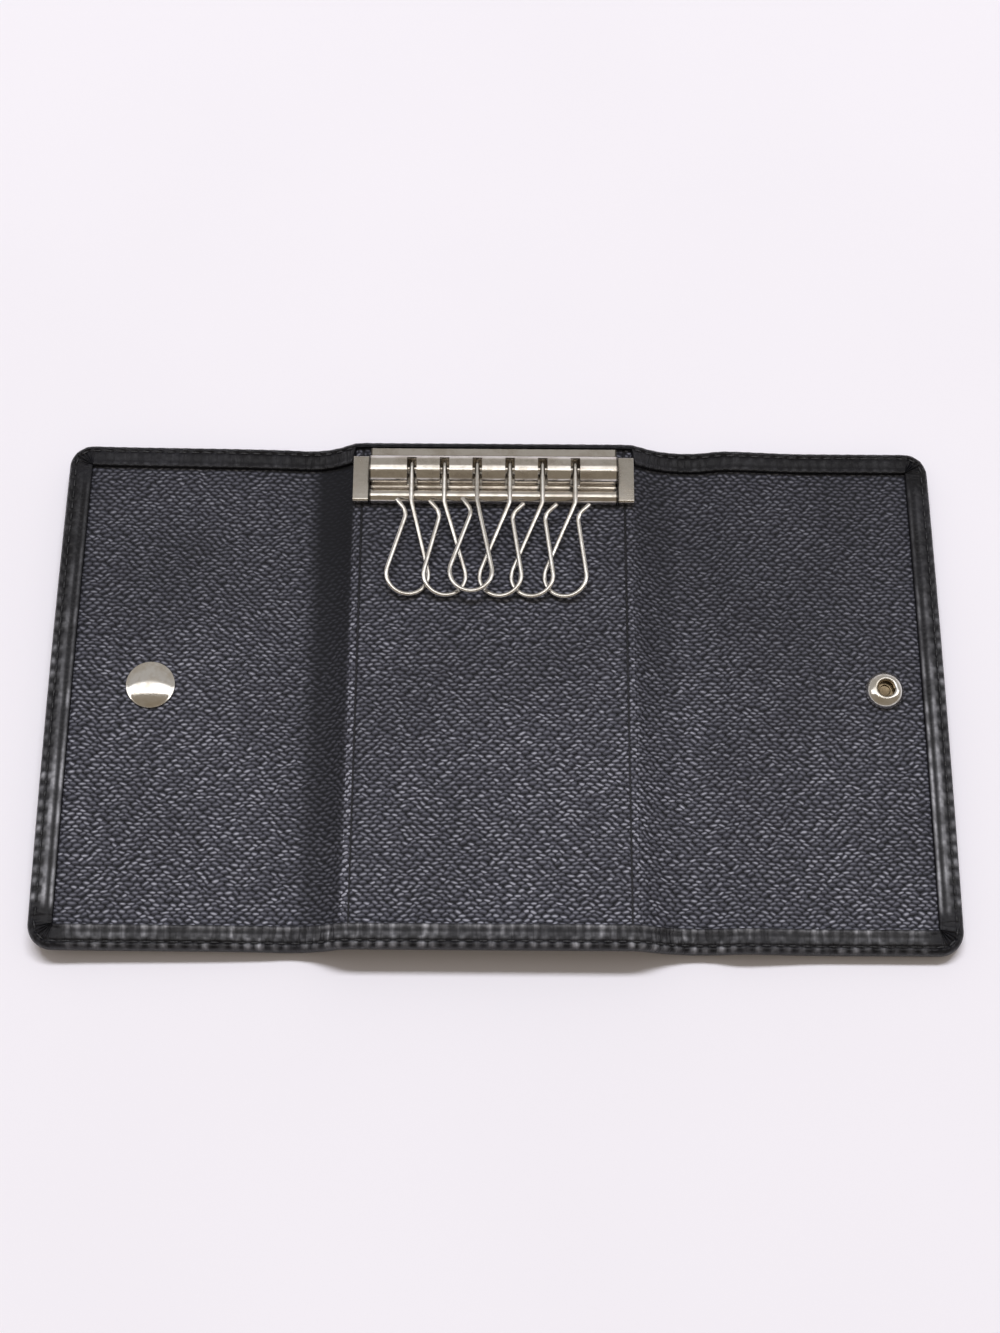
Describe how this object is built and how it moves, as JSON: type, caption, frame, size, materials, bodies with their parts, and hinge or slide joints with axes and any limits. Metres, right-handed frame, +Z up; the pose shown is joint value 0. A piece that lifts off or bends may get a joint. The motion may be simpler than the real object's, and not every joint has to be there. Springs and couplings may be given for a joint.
{
  "type": "key case",
  "caption": "Black leather key case lying open, with a nickel hook rail, wire key hooks and a snap fastener on its two folding flaps.",
  "frame": {"origin": "middle of the open case on the table, at the centre of its bounding box's underside", "axes": "+X to the right across the open sheet, +Y away from the viewer towards the hook rail, +Z up from the table"},
  "size_m": [0.1846, 0.109, 0.0115],
  "materials": {
    "cover_leather": "fine grained black leather, soft sheen",
    "lining_leather": "blue-black leather with a pressed cross grain, satin",
    "board": "raw stiffener board",
    "rail_metal": "warm nickel plate, softly worn",
    "hook_metal": "nickel plated wire, polished",
    "snap_metal": "polished nickel plate with worn rims"
  },
  "bodies": {
    "middle": {"middle_cover": "cover_leather", "middle_lining": "lining_leather", "middle_stiffener": "board", "rail_base": "rail_metal", "rail_cover": "rail_metal", "rail_axle": "rail_metal", "end_clip_left": "rail_metal", "end_clip_right": "rail_metal"},
    "left_spine": {"left_spine_cover": "cover_leather", "left_spine_lining": "lining_leather"},
    "left_flap": {"left_flap_cover": "cover_leather", "left_flap_lining": "lining_leather", "left_flap_stiffener": "board", "left_snap_post": "snap_metal", "snap_stud": "snap_metal"},
    "right_spine": {"right_spine_cover": "cover_leather", "right_spine_lining": "lining_leather"},
    "right_flap": {"right_flap_cover": "cover_leather", "right_flap_lining": "lining_leather", "right_flap_stiffener": "board", "snap_socket": "snap_metal", "snap_spring": "snap_metal", "right_snap_cap": "snap_metal"},
    "hook_1": {"hook_1": "hook_metal"},
    "hook_2": {"hook_2": "hook_metal"},
    "hook_3": {"hook_3": "hook_metal"},
    "hook_4": {"hook_4": "hook_metal"},
    "hook_5": {"hook_5": "hook_metal"},
    "hook_6": {"hook_6": "hook_metal"}
  },
  "joints": [
    {"name": "left_fold", "type": "hinge", "parent": "middle", "child": "left_spine", "pos_m": [-0.0312, 0, 0.0076], "axis": [0, 1, 0], "range_deg": [0, 107.14]},
    {"name": "left_flap_fold", "type": "hinge", "parent": "left_spine", "child": "left_flap", "pos_m": [-0.04401, 0, 0.00365], "axis": [0, 1, 0], "range_deg": [0, 69.07]},
    {"name": "right_fold", "type": "hinge", "parent": "middle", "child": "right_spine", "pos_m": [0.0287, 0, 0.0076], "axis": [0, -1, 0], "range_deg": [0, 98.97]},
    {"name": "right_flap_fold", "type": "hinge", "parent": "right_spine", "child": "right_flap", "pos_m": [0.04707, 0, 0.0047], "axis": [0, -1, 0], "range_deg": [0, 81.03]},
    {"name": "hook_1_swing", "type": "hinge", "parent": "middle", "child": "hook_1", "pos_m": [-0.0185, 0.0472, 0.0091], "axis": [1, 0, 0], "range_deg": [-90, 0]},
    {"name": "hook_2_swing", "type": "hinge", "parent": "middle", "child": "hook_2", "pos_m": [-0.0116, 0.0472, 0.0091], "axis": [1, 0, 0], "range_deg": [-90, 0]},
    {"name": "hook_3_swing", "type": "hinge", "parent": "middle", "child": "hook_3", "pos_m": [-0.0047, 0.0472, 0.0091], "axis": [1, 0, 0], "range_deg": [-90, 0]},
    {"name": "hook_4_swing", "type": "hinge", "parent": "middle", "child": "hook_4", "pos_m": [0.0022, 0.0472, 0.0091], "axis": [1, 0, 0], "range_deg": [-90, 0]},
    {"name": "hook_5_swing", "type": "hinge", "parent": "middle", "child": "hook_5", "pos_m": [0.0091, 0.0472, 0.0091], "axis": [1, 0, 0], "range_deg": [-90, 0]},
    {"name": "hook_6_swing", "type": "hinge", "parent": "middle", "child": "hook_6", "pos_m": [0.016, 0.0472, 0.0091], "axis": [1, 0, 0], "range_deg": [-90, 0]}
  ],
  "couplings": [
    {"joint": "left_flap_fold", "follows": "left_fold", "ratio": 0.64469},
    {"joint": "right_flap_fold", "follows": "right_fold", "ratio": 0.81874}
  ]
}
